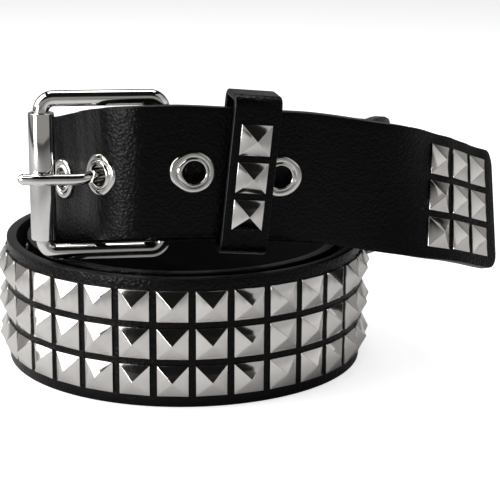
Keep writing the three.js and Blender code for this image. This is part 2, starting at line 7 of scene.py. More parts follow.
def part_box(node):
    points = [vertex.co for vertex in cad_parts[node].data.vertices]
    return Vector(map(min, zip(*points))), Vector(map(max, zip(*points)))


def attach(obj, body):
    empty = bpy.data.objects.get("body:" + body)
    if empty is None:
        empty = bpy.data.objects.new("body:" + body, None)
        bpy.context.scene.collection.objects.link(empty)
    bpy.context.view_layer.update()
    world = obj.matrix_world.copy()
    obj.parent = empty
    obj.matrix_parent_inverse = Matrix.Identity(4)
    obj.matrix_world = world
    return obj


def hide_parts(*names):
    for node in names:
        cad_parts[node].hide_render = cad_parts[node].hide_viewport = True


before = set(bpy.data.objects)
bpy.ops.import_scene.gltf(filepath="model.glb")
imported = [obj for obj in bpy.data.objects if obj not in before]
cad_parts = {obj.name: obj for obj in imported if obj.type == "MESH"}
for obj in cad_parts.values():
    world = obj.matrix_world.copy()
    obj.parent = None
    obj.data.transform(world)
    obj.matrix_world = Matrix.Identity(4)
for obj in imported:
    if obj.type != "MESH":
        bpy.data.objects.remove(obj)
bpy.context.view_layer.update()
print("frame loaded:", len(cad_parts), "nodes")

# Sizes of the belt, in millimetres as its maker gives them
mm = 0.001
strap = {"width": 38, "thickness": 3, "coilRadius": 57, "tipCorner": 5, "edgeRound": 0.8, "step": 1.6}
studs = {"side": 9.05, "pitch": 11.05, "rows": 3, "skirt": 0.6, "rise": 2.4, "round": 0.42, "hollow": 0.07,
         "point": 0.04, "sunk": 0.25, "bareAtBuckle": 72, "bareAtEyelets": 6, "tipMargin": 6.5,
         "tipColumns": 3}
eyelets = {"count": 5, "pitch": 25.4, "hole": 6.6, "rim": 12.4, "backRim": 11.2, "front": 1.0, "back": 0.5,
           "barrel": 0.75, "stiffness": 0.35, "steps": 64}
buckle = {"wire": 4.7, "heelToRoller": 34.8, "corner": 3.7, "gap": 1.25, "rimGap": 0.55, "turn": -5.5,
          "roller": 7.5, "rollerPlay": 0.5, "slotGap": 0.7}
prong = {"wire": 3, "reach": 7, "tilt": 28, "rampFrom": 11, "tip": 1.2, "stout": 1.08}
fold = {"length": 13, "taper": 7.2, "rivetAlong": 9.8, "rivetHead": 5, "rivetShank": 3, "rivetHeight": 0.5,
        "rivetShares": (0.2, 0.8)}
keeper = {"width": 14, "thickness": 2, "endGap": 2.5, "corner": 3, "edgeRound": 0.55, "lean": -0.6,
          "turn": 1014}
fitGap = 0.3
slideGap = 0.5

layerPitch = strap["thickness"] + studs["skirt"] + studs["rise"] + slideGap
plyPitch = strap["thickness"] + fitGap + eyelets["back"] + slideGap
buckleRise = buckle["rimGap"] + buckle["wire"] + buckle["gap"]
prongTurn = 960.6
frontTurn = 266.6

# Route of the strap's lower outer edge, as the solids have it: turn in degrees, radius as a share
# of the coil's, studded layers and plain plies inside it, height as shares of the strap's width
# and of the rise into the buckle, and the lean of the upper edge inwards
routeRows = [
    (-97.5, 0.686, 0, 0, 1, 1, 0), (-91, 0.661, 0, 0, 1, 1, 0), (-80, 0.645, 0, 0, 1, 0.97, 0),
    (-68, 0.656, 0, 0, 1, 0.9, -2), (-53, 0.717, 0, 0, 1, 0.78, -3), (-43, 0.814, 0, 0, 1, 0.66, -2),
    (-34, 0.903, 0, 0, 1, 0.48, 0), (-26, 0.977, 0, 0, 1, 0.28, 0), (-18.5, 0.914, 1, 0, 1, 0.1, 0),
    (-11, 0.95, 1, 0, 1, 0.05, 0), (-3, 0.977, 1, 0, 0.921, 0, 0), (8, 0.998, 1, 0, 0.776, 0, 0),
    (20, 1.007, 1, 0, 0.645, 0, 0), (45, 1, 1, 0, 0.342, 0, 0), (90, 0.985, 1, 0, 0.084, 0, 0),
    (130, 0.94, 1, 0, 0, 0, 0), (180, 0.98, 0, 0, 0, 0, 0), (270, 1.005, 0, 0, 0, 0, 0),
    (360, 0.98, 0, 0, 0, 0, 0), (440, 0.985, 0, 0, 0, 0, 0), (490, 0.94, 0, 0, 0, 0, 0),
    (540, 0.98, -1, 0, 0, 0, 0), (630, 1.005, -1, 0, 0, 0, 0), (720, 0.98, -1, 0, 0, 0, 0),
    (765, 0.985, -1, 0, 0.1, 0, 0), (810, 0.966, -1, 0, 0.37, 0, 0), (855, 0.915, -1, 0, 0.71, 0, 0),
    (885, 0.861, -1, 0, 0.88, 0, 0), (900, 0.728, 0, 0, 0.947, 0, 0), (915, 0.709, 0, 0, 1, 0, 0),
    (930, 0.679, 0, 0, 1, 0.31, 0), (942, 0.703, 0, 0, 1, 0.63, 0), (950.5, 0.738, 0, 0.2, 1, 0.88, 1),
    (958, 0.768, 0, 0.4, 1, 1.08, 3), (963, 0.768, 0, 0.6, 1, 1.18, 3), (968, 0.757, 0, 0.8, 1, 1.28, 2),
    (974, 0.736, 0, 0.9, 1, 1.34, 1), (979, 0.702, 0, 1, 1, 1.37, 0), (985, 0.677, 0, 1, 1, 1.37, 0),
    (990, 0.6605, 0, 1, 1, 1.34, 0), (1000, 0.643, 0, 1.09, 1, 1.26, 0), (1010, 0.651, 0, 1, 1, 1.17, -2),
    (1024, 0.703, 0, 1.1, 1, 1.03, -3), (1033.5, 0.781, 0, 1.2, 1, 0.91, -3),
    (1041, 0.891, 0, 1.3, 1, 0.68, -2), (1047, 1.025, 0, 1.3, 1, 0.4, 1),
    (1052.5, 1.16, 0, 1.3, 1, 0.11, 8), (1058, 1.279, 0, 1.3, 0.966, 0, 14),
    (1063.5, 1.385, 0, 1.3, 0.908, 0, 15), (1068.5, 1.47, 0, 1.3, 0.84, 0, 15),
    (1073.5, 1.563, 0, 1.3, 0.76, 0, 15), (1077, 1.646, 0, 1.3, 0.7, 0, 15),
]
route = [{"turn": turn,
          "radius": reach * strap["coilRadius"] + layers * layerPitch + plies * plyPitch,
          "height": lift * strap["width"] + over * buckleRise,
          "lean": lean}
         for turn, reach, layers, plies, lift, over, lean in routeRows]


def riseAfter(key, i):
    return (route[i + 1][key] - route[i][key]) / (route[i + 1]["turn"] - route[i]["turn"])


def slopeAt(key, i):
    # at each row the slope of the curve through its neighbours; heights never overshoot a row
    if i == 0 or i == len(route) - 1:
        return riseAfter(key, min(i, len(route) - 2))
    before, after = riseAfter(key, i - 1), riseAfter(key, i)
    stepBefore = route[i]["turn"] - route[i - 1]["turn"]
    stepAfter = route[i + 1]["turn"] - route[i]["turn"]
    mean = (before * stepAfter + after * stepBefore) / (stepBefore + stepAfter)
    if key != "height":
        return mean
    sign = (before > 0) - (before < 0) + (after > 0) - (after < 0)
    return sign * min(abs(before), abs(after), abs(mean) / 2)


slopes = {key: [slopeAt(key, i) for i in range(len(route))] for key in ("radius", "height", "lean")}
rowTurns = [row["turn"] for row in route]


def routeValue(key, turn):
    i = min(max(bisect_right(rowTurns, turn) - 1, 0), len(route) - 2)
    a, b = route[i], route[i + 1]
    step = b["turn"] - a["turn"]
    t = (turn - a["turn"]) / step
    bend = slopes[key][i] * step * t * (1 - t) ** 2 - slopes[key][i + 1] * step * t * t * (1 - t)
    return a[key] + (b[key] - a[key]) * t * t * (3 - 2 * t) + bend


# The route as points, with the distance along it and the forward direction at each
turnStep = 0.5
turnCount = round((rowTurns[-1] - rowTurns[0]) / turnStep)
pathTurns = [rowTurns[0] + i * turnStep for i in range(turnCount + 1)]
pathPoints = []
for turn in pathTurns:
    radius, angle = routeValue("radius", turn), math.radians(turn)
    height = routeValue("height", turn)
    pathPoints.append(Vector((radius * math.cos(angle), radius * math.sin(angle), height)))
pathLengths = [0]
for a, b in zip(pathPoints, pathPoints[1:]):
    pathLengths.append(pathLengths[-1] + (b - a).length)
strapLength = pathLengths[-1]
pathForwards = []
for i in range(len(pathPoints)):
    ahead, behind = pathPoints[min(i + 1, turnCount)], pathPoints[max(i - 1, 0)]
    pathForwards.append((ahead - behind).normalized())


def alongAt(turn):
    share = (turn - rowTurns[0]) / turnStep
    i = min(int(share), turnCount - 1)
    return pathLengths[i] + (share - i) * (pathLengths[i + 1] - pathLengths[i])


def frameAt(along):
    # a point of the lower outer edge, with the directions forward, outward and up the strap
    held = min(max(along, 0), strapLength)
    i = min(max(bisect_right(pathLengths, held) - 1, 0), turnCount - 1)
    t = (held - pathLengths[i]) / (pathLengths[i + 1] - pathLengths[i])
    forward = pathForwards[i].lerp(pathForwards[i + 1], t).normalized()
    point = pathPoints[i].lerp(pathPoints[i + 1], t) + forward * (along - held)
    lean = math.radians(routeValue("lean", pathTurns[i] + t * turnStep))
    out = Matrix.Rotation(-lean, 3, forward) @ Vector((forward.y, -forward.x, 0)).normalized()
    return point, forward, out, out.cross(forward)


def onStrap(along, across, out):
    point, forward, outward, up = frameAt(along)
    return point + up * across + outward * (out - strap["thickness"])


# Heel bar of the buckle and the fold of the strap round it
middle = strap["width"] / 2
foldInner = buckle["wire"] / 2 + fitGap
foldMiddle = foldInner + strap["thickness"] / 2
heelForward, heelOut, heelUp = frameAt(0)[1:]
heelCentre = onStrap(0, 0, -foldInner)


def aroundHeel(angle, radius, across):
    return (heelCentre + heelOut * radius * math.cos(angle)
            - heelForward * radius * math.sin(angle) + heelUp * across)


def foldOffset(along):
    # from the strap's outside to its folded end's, open at the bar and close behind it
    close = strap["thickness"] + fitGap
    opened = 2 * foldInner + strap["thickness"]
    start = buckle["wire"] / 4
    t = min(max((along - start) / (fold["taper"] - start), 0), 1)
    return opened + (close - opened) * t * t * (3 - 2 * t)


def onFoldedStrap(along, across, out):
    # a point of the strap, also where it goes round the heel bar and back behind itself
    if along >= 0:
        return onStrap(along, across, out)
    angle = -along / foldMiddle
    if angle < math.pi:
        return aroundHeel(angle, foldInner + out, across)
    back = -along - math.pi * foldMiddle
    return onStrap(back, across, strap["thickness"] - out - foldOffset(back))


# Places along the strap of its eyelets and stud columns
prongAlong = alongAt(prongTurn)
eyeletAlongs = [prongAlong + (i - (eyelets["count"] - 1) / 2) * eyelets["pitch"]
                for i in range(eyelets["count"])]
fieldEnd = eyeletAlongs[0] - eyelets["rim"] / 2 - studs["bareAtEyelets"]
frontAlong = alongAt(frontTurn)
firstColumn = -math.floor((frontAlong - studs["side"] / 2 - studs["bareAtBuckle"]) / studs["pitch"])
lastColumn = math.floor((fieldEnd - studs["side"] / 2 - frontAlong) / studs["pitch"])
columnAlongs = [frontAlong + i * studs["pitch"] for i in range(firstColumn, lastColumn + 1)]
tipAlongs = [strapLength - studs["tipMargin"] - studs["side"] / 2 - i * studs["pitch"]
             for i in range(studs["tipColumns"])]
rowCentres = [middle + (i - (studs["rows"] - 1) / 2) * studs["pitch"] for i in range(studs["rows"])]

# Where the coil's axis stands in the frame: the outermost stud peaks against the strap's box
studPeaks = [onStrap(along, rowCentres[1], strap["thickness"] + studs["skirt"] + studs["rise"])
             for along in columnAlongs]
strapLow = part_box("strap")[0]
axisAt = Vector((strapLow[0] - min(p.x for p in studPeaks) * mm,
                 strapLow[1] - min(p.y for p in studPeaks) * mm, 0))
print("coil axis at", [round(v, 5) for v in axisAt])
print("strap", round(strapLength, 1), "mm,", len(columnAlongs), "columns of studs")


def inFrame(point):
    return axisAt + point * mm


# Object helpers
mergeWithin = 1e-4


def clearSelection():
    if bpy.context.object and bpy.context.object.mode != "OBJECT":
        bpy.ops.object.mode_set(mode="OBJECT")
    bpy.ops.object.select_all(action="DESELECT")


def activate(obj):
    clearSelection()
    obj.select_set(True)
    bpy.context.view_layer.objects.active = obj


def named(name):
    obj = bpy.context.object
    obj.name = name
    obj.data.name = name
    return obj


def applyModifier(obj, kind, **settings):
    activate(obj)
    modifier = obj.modifiers.new(kind.title(), kind)
    for key, value in settings.items():
        setattr(modifier, key, value)
    bpy.ops.object.modifier_apply(modifier=modifier.name)


def editMesh(obj):
    activate(obj)
    bpy.ops.object.mode_set(mode="EDIT")
    bpy.ops.mesh.select_all(action="SELECT")


def closeEdit():
    bpy.ops.object.mode_set(mode="OBJECT")


def smooth(obj, angle=35):
    activate(obj)
    bpy.ops.object.shade_smooth_by_angle(angle=math.radians(angle))


def selectFaces(obj, test):
    # in object mode: leaves only the faces that pass the test selected
    for vertex in obj.data.vertices:
        vertex.select = False
    for edge in obj.data.edges:
        edge.select = False
    for face in obj.data.polygons:
        face.select = test(face)


def joined(name, pieces):
    clearSelection()
    for piece in pieces:
        piece.select_set(True)
    bpy.context.view_layer.objects.active = pieces[0]
    bpy.ops.object.join()
    return named(name)


def copied(obj, place):
    # a copy with its own mesh, each vertex moved by place
    twin = obj.copy()
    twin.data = obj.data.copy()
    bpy.context.collection.objects.link(twin)
    for vertex in twin.data.vertices:
        vertex.co = place(vertex.co)
    return twin


def spun(name, profile, steps):
    # a ring or solid of revolution about Z from a closed profile of radius and height
    clearSelection()
    bpy.ops.mesh.primitive_circle_add(vertices=len(profile), radius=1)
    obj = named(name)
    for vertex, (radius, height) in zip(obj.data.vertices, profile):
        vertex.co = (radius, 0, height)
    editMesh(obj)
    bpy.ops.mesh.spin(steps=steps, angle=2 * math.pi, center=(0, 0, 0), axis=(0, 0, 1))
    bpy.ops.mesh.select_all(action="SELECT")
    bpy.ops.mesh.remove_doubles(threshold=mergeWithin)
    bpy.ops.mesh.normals_make_consistent(inside=False)
    closeEdit()
    return obj


def wireMesh(name, points, radii, closed, sides=8):
    # a round wire along points in millimetres, made a mesh
    curve = bpy.data.curves.new(name, "CURVE")
    curve.dimensions = "3D"
    curve.bevel_depth = 1
    curve.bevel_resolution = sides
    curve.use_fill_caps = not closed
    spline = curve.splines.new("POLY")
    spline.points.add(len(points) - 1)
    spline.use_cyclic_u = closed
    for knot, point, radius in zip(spline.points, points, radii):
        knot.co = (*point, 1)
        knot.radius = radius
    obj = bpy.data.objects.new(name, curve)
    bpy.context.collection.objects.link(obj)
    activate(obj)
    bpy.ops.object.convert(target="MESH")
    obj = named(name)
    editMesh(obj)
    bpy.ops.mesh.remove_doubles(threshold=mergeWithin)
    bpy.ops.mesh.normals_make_consistent(inside=False)
    closeEdit()
    return obj


def finished(obj, material, slot, *nodes):
    # places a piece that is still in millimetres about the coil's axis, gives it its material, attaches it
    # under the root body and hides the frame's parts it replaces
    for vertex in obj.data.vertices:
        vertex.co = inFrame(vertex.co)
    if material:
        obj.data.materials.clear()
        obj.data.materials.append(material)
    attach(obj, "root")
    if nodes:
        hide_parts(*nodes)
    return obj


# Shader expressions: a wrapped socket that takes part in sums
class Wire:
    def __init__(self, tree, socket):
        self.tree, self.socket = tree, socket

    def math(self, operation, a, b):
        return self.tree.node("ShaderNodeMath", {"operation": operation}, {0: a, 1: b})

    def __add__(self, other):
        return self.math("ADD", self, other)

    def __radd__(self, other):
        return self.math("ADD", other, self)

    def __sub__(self, other):
        return self.math("SUBTRACT", self, other)

    def __rsub__(self, other):
        return self.math("SUBTRACT", other, self)

    def __mul__(self, other):
        return self.math("MULTIPLY", self, other)

    def __rmul__(self, other):
        return self.math("MULTIPLY", other, self)


class Tree:
    def __init__(self, name, world=False):
        self.owner = bpy.data.worlds.new(name) if world else bpy.data.materials.new(name)
        self.owner.use_nodes = True
        self.nodes, self.links = self.owner.node_tree.nodes, self.owner.node_tree.links
        self.nodes.clear()

    def node(self, kind, settings=None, inputs=None, output=0):
        made = self.nodes.new(kind)
        for key, value in (settings or {}).items():
            if key == "stops":
                for i, (position, colour) in enumerate(value):
                    stops = made.color_ramp.elements
                    stop = stops[i] if i < len(stops) else stops.new(position)
                    stop.position = position
                    stop.color = (*colour, 1)
            else:
                setattr(made, key, value)
        for key, value in (inputs or {}).items():
            if isinstance(value, Wire):
                self.links.new(value.socket, made.inputs[key])
            else:
                made.inputs[key].default_value = value
        return Wire(self, made.outputs[output]) if len(made.outputs) else None


# Metals: clouds of wear and fine specks on plain chrome
metal = {"clouds": 260.0, "specks": 2400.0, "depth": 0.0002}


def metalMaterial(name, colour, roughness, wear):
    tree = Tree(name)
    place = tree.node("ShaderNodeTexCoord", output="Object")
    cloudy = tree.node("ShaderNodeTexNoise", {}, {"Vector": place, "Scale": metal["clouds"], "Detail": 3.0})
    fine = tree.node("ShaderNodeTexNoise", {}, {"Vector": place, "Scale": metal["specks"], "Detail": 2.0})
    dull = [c * wear["dark"] for c in colour]
    tint = tree.node("ShaderNodeValToRGB", {"stops": [(0.3, dull), (0.7, colour)]}, {"Fac": cloudy})
    bump = tree.node("ShaderNodeBump", {},
                     {"Strength": wear["bump"], "Distance": metal["depth"], "Height": cloudy})
    shader = tree.node("ShaderNodeBsdfPrincipled", {}, {
        "Base Color": tint, "Metallic": 1.0, "Normal": bump,
        "Roughness": roughness + (cloudy - 0.5) * wear["smudge"] + (fine - 0.5) * wear["haze"]})
    tree.node("ShaderNodeOutputMaterial", {}, {"Surface": shader})
    return tree.owner


# Leathers: pebbles and creases in the grain, and patches that are a little duller
hide = {"pebbleShare": 0.55, "creaseShare": 0.75, "patches": 45.0, "patchy": 0.12, "creased": 0.1,
        "depth": 0.00025}


def leatherMaterial(name, look):
    tree = Tree(name)
    place = tree.node("ShaderNodeTexCoord", output="Object")
    pebble = tree.node("ShaderNodeTexVoronoi", {"feature": "SMOOTH_F1"},
                       {"Vector": place, "Scale": look["pebbles"], "Smoothness": 0.6, "Randomness": 1.0})
    creases = tree.node("ShaderNodeTexNoise", {}, {"Vector": place, "Scale": look["creases"], "Detail": 4.0,
                                                    "Roughness": 0.6, "Distortion": 0.8})
    broad = tree.node("ShaderNodeTexNoise", {}, {"Vector": place, "Scale": hide["patches"], "Detail": 2.0})
    grain = pebble * hide["pebbleShare"] + creases * hide["creaseShare"]
    tint = tree.node("ShaderNodeValToRGB", {"stops": [(0.35, look["dark"]), (0.75, look["light"])]},
                     {"Fac": creases})
    bump = tree.node("ShaderNodeBump", {},
                     {"Strength": look["bump"], "Distance": hide["depth"], "Height": grain})
    uneven = look["roughness"] + (broad - 0.5) * hide["patchy"] + (creases - 0.5) * hide["creased"]
    shader = tree.node("ShaderNodeBsdfPrincipled", {}, {
        "Base Color": tint, "Normal": bump, "Specular IOR Level": look["specular"], "Roughness": uneven})
    tree.node("ShaderNodeOutputMaterial", {}, {"Surface": shader})
    return tree.owner


strapLook = {"pebbles": 1100.0, "creases": 850.0, "bump": 1.0, "roughness": 0.23, "specular": 0.13,
             "dark": (0.0008, 0.0008, 0.0009), "light": (0.0022, 0.0022, 0.0024)}
edgeLook = {"pebbles": 900.0, "creases": 500.0, "bump": 0.12, "roughness": 0.34, "specular": 0.35,
            "dark": (0.002, 0.002, 0.0022), "light": (0.005, 0.005, 0.0055)}
innerLook = {"pebbles": 1100.0, "creases": 1300.0, "bump": 0.3, "roughness": 0.6, "specular": 0.25,
             "dark": (0.003, 0.003, 0.0033), "light": (0.008, 0.008, 0.0085)}
grainLeather = leatherMaterial("strap grain side", strapLook)
edgePaint = leatherMaterial("strap painted edge", edgeLook)
fleshSide = leatherMaterial("strap flesh side", innerLook)
studChrome = metalMaterial("stud chrome", (0.8, 0.775, 0.75), 0.1,
                           {"dark": 0.93, "smudge": 0.08, "haze": 0.03, "bump": 0.02})
buckleChrome = metalMaterial("buckle chrome", (0.85, 0.83, 0.81), 0.07,
                             {"dark": 0.94, "smudge": 0.06, "haze": 0.02, "bump": 0.015})
print("materials made")


# The strap: a flat band with its fold, slot and holes, wound along the route
def strapStations():
    start = -(math.pi * foldMiddle + fold["length"])
    flatEnd = strapLength - strap["tipCorner"]
    count = round((flatEnd - start) / strap["step"])
    stations = [start + (flatEnd - start) * i / count for i in range(count + 1)]
    cornerSteps = 8
    for i in range(1, cornerSteps + 1):
        stations.append(flatEnd + strap["tipCorner"] * math.sin(math.radians(90 * i / cornerSteps)))
    return stations


def makeStrap():
    stations = strapStations()
    rows = 16
    corner = strap["tipCorner"]
    clearSelection()
    bpy.ops.mesh.primitive_grid_add(x_subdivisions=len(stations) - 1, y_subdivisions=rows, size=1)
    band = named("strapBand")
    for vertex in band.data.vertices:
        along = stations[round((vertex.co.x + 0.5) * (len(stations) - 1))]
        fromEnd = min(strapLength - along, corner)
        inset = corner - math.sqrt(corner ** 2 - (corner - fromEnd) ** 2)
        across = inset + (vertex.co.y + 0.5) * (strap["width"] - 2 * inset)
        vertex.co = (along, across, strap["thickness"])
    # the prong's slot is the middle two rows of faces, on both sides of the heel bar
    slotHalf = strap["width"] / rows + 0.1
    reach = foldInner + prong["wire"] + buckle["slotGap"]
    slotFrom, slotTo = -math.pi * foldMiddle - reach, reach
    selectFaces(band, lambda face: (abs(face.center.y - middle) < slotHalf
                                    and slotFrom < face.center.x < slotTo))
    activate(band)
    bpy.ops.object.mode_set(mode="EDIT")
    bpy.ops.mesh.delete(type="FACE")
    closeEdit()
    applyModifier(band, "SOLIDIFY", thickness=strap["thickness"], offset=-1)
    applyModifier(band, "BEVEL", width=strap["edgeRound"], segments=3, limit_method="ANGLE",
                  angle_limit=math.radians(50))
    punchHoles(band)
    for material in (grainLeather, edgePaint, fleshSide):
        band.data.materials.append(material)
    for face in band.data.polygons:
        face.material_index = 0 if face.normal.z > 0.8 else 2 if face.normal.z < -0.8 else 1
    for vertex in band.data.vertices:
        vertex.co = onFoldedStrap(*vertex.co)
    smooth(band, 40)
    return finished(band, None, "strap_leather", "strap")


def punchHoles(band):
    # the eyelets' holes, cut while the band is flat
    punches = []
    for along in eyeletAlongs:
        clearSelection()
        bpy.ops.mesh.primitive_cylinder_add(vertices=40, radius=eyelets["hole"] / 2 + eyelets["barrel"],
                                            depth=20, location=(along, middle, 0))
        bpy.ops.object.transform_apply(location=True, rotation=True, scale=True)
        punches.append(named("punch"))
    punch = joined("punches", punches)
    applyModifier(band, "BOOLEAN", operation="DIFFERENCE", solver="EXACT", object=punch)
    bpy.data.objects.remove(punch)


strapBand = makeStrap()
print("strap:", len(strapBand.data.polygons), "faces")


# Studs: one pressed pyramid, copied over the strap, the tip and the keeper
def makeStud():
    clearSelection()
    side, skirt, rise, sunk = studs["side"], studs["skirt"], studs["rise"], studs["sunk"]
    bpy.ops.mesh.primitive_cube_add(size=1)
    stud = named("studPattern")
    for vertex in stud.data.vertices:
        x, y, z = vertex.co
        vertex.co = (x * side, y * side, (z + 0.5) * (skirt + sunk) - sunk)
    selectFaces(stud, lambda face: face.normal.z > 0.9)
    activate(stud)
    bpy.ops.object.mode_set(mode="EDIT")
    bpy.ops.mesh.select_mode(type="FACE")
    for left in (0.5 - studs["hollow"] / 2, studs["point"]):
        # half the rise each time, drawn in a little more than a straight slope
        bpy.ops.mesh.extrude_region_move(TRANSFORM_OT_translate={"value": (0, 0, rise / 2)})
        bpy.ops.transform.resize(value=(left, left, 1), center_override=(0, 0, 0))
    closeEdit()
    applyModifier(stud, "BEVEL", width=studs["round"], segments=2, limit_method="ANGLE",
                  angle_limit=math.radians(25))
    smooth(stud, 28)
    return stud


def standStud(stud, along, across):
    # a stud lies flat on the strap, square to it at its middle
    centre = onStrap(along, across, strap["thickness"])
    half = studs["side"] / 2
    forward = (onStrap(along + half, across, 0) - onStrap(along - half, across, 0)).normalized()
    up = (onStrap(along, across + half, 0) - onStrap(along, across - half, 0)).normalized()
    out = forward.cross(up).normalized()
    up = out.cross(forward)
    return copied(stud, lambda co: centre + forward * co.x + up * co.y + out * co.z)


studPattern = makeStud()
field = [standStud(studPattern, along, across) for along in columnAlongs for across in rowCentres]
strapStuds = finished(joined("strapStuds", field), studChrome, "stud_chrome", "strap")
for column, along in enumerate(tipAlongs):
    for row, across in enumerate(rowCentres):
        number = column * studs["rows"] + row + 1
        tipStud = standStud(studPattern, along, across)
        tipStud.name = "tipStud" + str(number)
        finished(tipStud, studChrome, "stud_chrome", "tip_stud_" + str(number))
print("studs:", len(field) + len(tipAlongs) * studs["rows"])


# Eyelets: a pressed ring with a rolled rim, an inner ridge and a barrel through the strap
def makeEyelet():
    hole, rim, back = eyelets["hole"] / 2, eyelets["rim"] / 2, eyelets["backRim"] / 2
    face = strap["thickness"]
    # round the back rim, along the barrel, over the front rim and its groove, and down the hole
    profile = [
        (hole + 0.15, -0.78), (back - 0.2, -0.78), (back, -0.6), (back - 0.1, -0.05), (hole + 0.55, -0.05),
        (hole + 0.55, face - 0.05), (rim - 0.1, face - 0.05), (rim, face + 0.15), (rim - 0.12, face + 0.5),
        (rim - 0.4, face + 0.75), (rim - 0.8, face + 0.86), (rim - 1.3, face + 0.88),
        (rim - 1.6, face + 0.82), (rim - 1.7, face + 0.7), (rim - 1.8, face + 0.82),
        (hole + 0.8, face + 1.16), (hole + 0.5, face + 1.25), (hole + 0.2, face + 1.12),
        (hole + 0.05, face + 0.8), (hole, face + 0.3), (hole, 0),
    ]
    return spun("eyeletPattern", profile, eyelets["steps"])


def onEyelet(along, co):
    # a pressed ring bends less than the strap it sits on
    bent = onStrap(along + co.x, middle + co.y, co.z)
    flat = onStrap(along, middle + co.y, co.z) + frameAt(along)[1] * co.x
    return bent.lerp(flat, eyelets["stiffness"])


eyeletPattern = makeEyelet()
smooth(eyeletPattern, 60)
for number, along in enumerate(eyeletAlongs, 1):
    ring = copied(eyeletPattern, lambda co: onEyelet(along, co))
    ring.name = "eyeletRing" + str(number)
    finished(ring, studChrome, "stud_chrome", "eyelet_" + str(number))
print("eyelets:", eyelets["count"])


# Rivets that hold the fold
def makeRivet():
    head, height, shank = fold["rivetHead"] / 2, fold["rivetHeight"], fold["rivetShank"] / 2
    front = strap["thickness"] + height
    back = -foldOffset(fold["rivetAlong"]) - height
    profile = [(0, front + 0.3), (head * 0.6, front + 0.2), (head - 0.2, front - 0.1), (head, front - 0.35),
               (head, front - height), (shank, front - height), (shank, back + height),
               (head, back + height), (head, back + 0.2), (head - 0.3, back), (0, back)]
    return spun("rivetPattern", profile, 32)


rivetPattern = makeRivet()
smooth(rivetPattern, 40)
for number, share in enumerate(fold["rivetShares"], 1):
    across = share * strap["width"]
    rivet = copied(rivetPattern, lambda co: onStrap(fold["rivetAlong"] + co.x, across + co.y, co.z))
    rivet.name = "foldRivet" + str(number)
    finished(rivet, studChrome, "stud_chrome", "fold_rivet_" + str(number))

# Buckle directions: away from the heel bar, up along it, and out
heelMiddle = onStrap(0, middle, -foldInner)
buckleAway = Matrix.Rotation(math.radians(buckle["turn"]), 3, heelUp) @ -heelForward
buckleOut = heelUp.cross(buckleAway)
frameHalf = strap["width"] / 2 + buckle["gap"] + buckle["wire"] / 2


def onBuckle(away, up, out):
    return heelMiddle + buckleAway * away + heelUp * up + buckleOut * out


def makeFrame():
    corner = buckle["corner"]
    far, high = buckle["heelToRoller"] - corner, frameHalf - corner
    cornerSteps = 12
    points = []
    for away, up, start in ((far, high, 0), (corner, high, 90), (corner, -high, 180), (far, -high, 270)):
        for i in range(cornerSteps + 1):
            angle = math.radians(start + 90 * i / cornerSteps)
            points.append(onBuckle(away + corner * math.cos(angle), up + corner * math.sin(angle), 0))
    return wireMesh("buckleWire", points, [buckle["wire"] / 2] * len(points), True)


def makeRoller():
    inner, outer = buckle["wire"] / 2 + fitGap, buckle["roller"] / 2
    half = frameHalf - buckle["corner"] - buckle["rollerPlay"] / 2
    profile = [(inner, -half), (outer - 0.35, -half), (outer - 0.08, -half + 0.12), (outer, -half + 0.4),
               (outer, half - 0.4), (outer - 0.08, half - 0.12), (outer - 0.35, half), (inner, half)]
    roller = spun("rollerSleeve", profile, 56)
    centre = onBuckle(buckle["heelToRoller"], 0, 0)
    for vertex in roller.data.vertices:
        vertex.co = centre + buckleAway * vertex.co.x + buckleOut * vertex.co.y + heelUp * vertex.co.z
    return roller


def smoothRoute(knots, count):
    # a uniform curve through knots
    points = []
    ends = [knots[0] * 2 - knots[1]] + knots + [knots[-1] * 2 - knots[-2]]
    for i in range(len(knots) - 1):
        a, b, c, d = ends[i:i + 4]
        for k in range(count):
            t = k / count
            points.append(b + (c - a) * (t / 2) + (a * 2 - b * 5 + c * 4 - d) * (t * t / 2)
                          + (b * 3 - a - c * 3 + d) * (t ** 3 / 2))
    return points + [knots[-1]]


def makeProng():
    # an eye round the heel bar, then up through its eyelet, over the roller and a little down
    radius, rollerRadius = prong["wire"] / 2, buckle["roller"] / 2
    eyeRadius = foldInner + radius
    hole = onStrap(prongAlong, middle, strap["thickness"] / 2)
    tilt = math.radians(prong["tilt"])
    through = buckleAway * math.cos(tilt) + buckleOut * math.sin(tilt)
    over = rollerRadius + fitGap + radius
    far = buckle["heelToRoller"]
    leaving = math.pi - tilt
    eye = [aroundHeel(leaving + math.radians(angle), eyeRadius, middle) for angle in range(225, 0, -15)]
    beforeTip = onBuckle(far + prong["reach"] - prong["tip"], 0, over - radius)
    knots = [aroundHeel(leaving, eyeRadius, middle),
             hole - through * strap["thickness"],
             hole + through * strap["thickness"],
             onBuckle(far - prong["rampFrom"], 0, over),
             onBuckle(far - rollerRadius, 0, over),
             onBuckle(far + rollerRadius / 4, 0, over),
             beforeTip]
    knotSteps = 8
    points = eye + smoothRoute(knots, knotSteps)
    radii = [radius] * len(points)
    for i in range(len(eye) + 2 * knotSteps, len(radii)):
        # a little stouter in front of the strap
        radii[i] = radius * prong["stout"]
    end = (points[-1] - points[-2]).normalized()
    for ahead, share in ((0.5, 0.93), (0.9, 0.78), (1.15, 0.5), (1.2, 0.2)):
        # the rounded tip
        points.append(beforeTip + end * ahead)
        radii.append(radius * share)
    return wireMesh("prongWire", points, radii, False)


for make, node in ((makeFrame, "buckle_frame"), (makeRoller, "buckle_roller"), (makeProng, "buckle_prong")):
    obj = make()
    smooth(obj, 40)
    finished(obj, buckleChrome, "buckle_metal", node)
print("buckle made")

